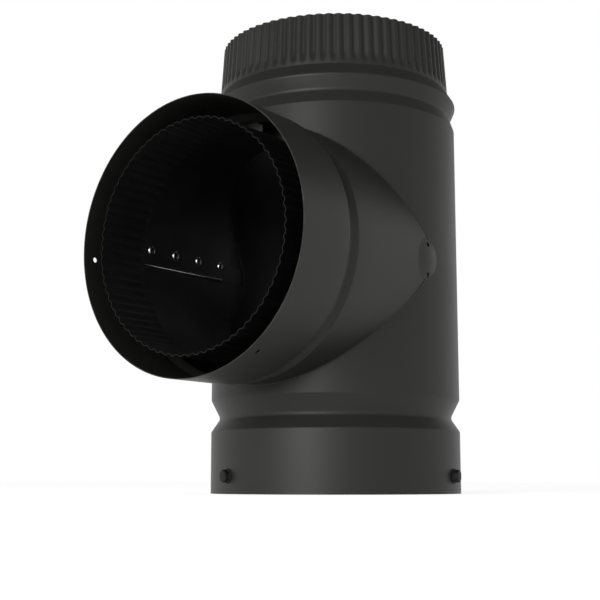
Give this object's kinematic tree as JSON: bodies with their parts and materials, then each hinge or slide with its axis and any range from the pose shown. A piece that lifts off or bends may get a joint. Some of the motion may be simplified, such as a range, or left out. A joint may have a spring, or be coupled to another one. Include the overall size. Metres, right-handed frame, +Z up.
{
  "type": "chimney tee",
  "caption": "Black double-wall stove-pipe tee with a crimped top collar, a side branch with a crimped liner, and a screwed clean-out cap below.",
  "frame": {"origin": "centre of the clean-out cap's underside, on the run's axis, level with the lower rim", "axes": "+Z up along the run towards the crimped collar, the branch leaves towards -Y"},
  "size_m": [0.1827, 0.2548, 0.3265],
  "materials": {
    "jacket_paint": "satin black stove paint",
    "liner_steel": "dark dull steel",
    "spacer_steel": "mill finish",
    "screw_black": "black coated"
  },
  "bodies": {
    "root": {"jacket_run": "jacket_paint", "jacket_branch": "jacket_paint", "liner_run": "liner_steel", "liner_branch": "liner_steel", "cleanout_cap": "jacket_paint", "cap_collar": "liner_steel", "cap_screws": "screw_black", "top_spacer_1": "spacer_steel", "top_spacer_2": "spacer_steel", "top_spacer_3": "spacer_steel", "bottom_spacer_1": "spacer_steel", "bottom_spacer_2": "spacer_steel", "bottom_spacer_3": "spacer_steel", "branch_spacer_1": "spacer_steel", "branch_spacer_2": "spacer_steel", "branch_spacer_3": "spacer_steel"}
  },
  "joints": []
}
